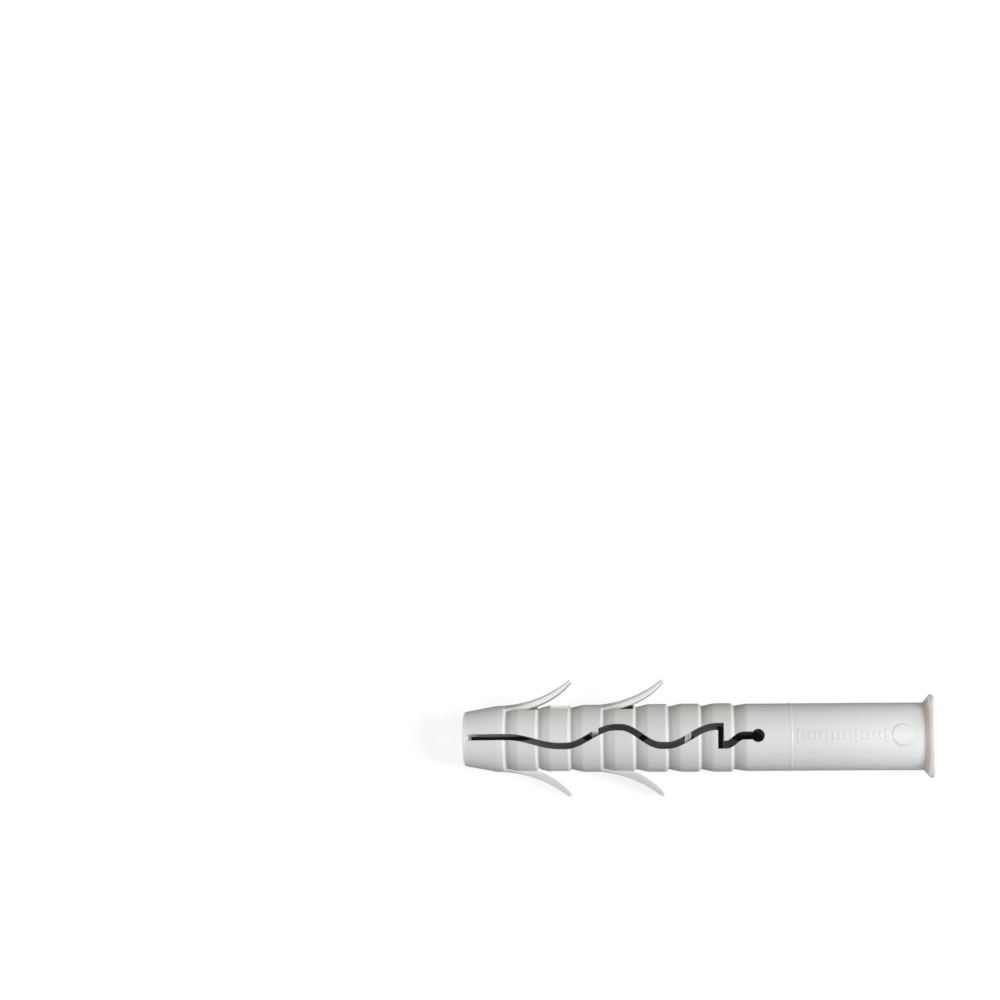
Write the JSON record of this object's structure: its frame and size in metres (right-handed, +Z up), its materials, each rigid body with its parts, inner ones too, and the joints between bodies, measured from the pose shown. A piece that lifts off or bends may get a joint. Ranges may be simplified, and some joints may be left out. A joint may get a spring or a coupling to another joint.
{
  "type": "scaffold anchor plug",
  "caption": "One-piece nylon frame plug for a scaffold eye bolt, with sawtooth rings, a wavy expansion slot, swept-back barbs and a flared collar.",
  "frame": {"origin": "centre of the mouth face, on the plug's axis", "axes": "+X along the plug's axis, out of the mouth; the nose points to -X; +Z is up as the plug lies, rolled 19.9 degrees about +X onto a barb of its first pair, so that its slots open 19.9 degrees from +Z and -Z"},
  "size_m": [0.1, 0.0242, 0.0176],
  "materials": {
    "nylon": "light grey moulded nylon, satin, slightly translucent, warmer at the collar"
  },
  "bodies": {
    "root": {"anchor_plug": "nylon"}
  },
  "joints": []
}
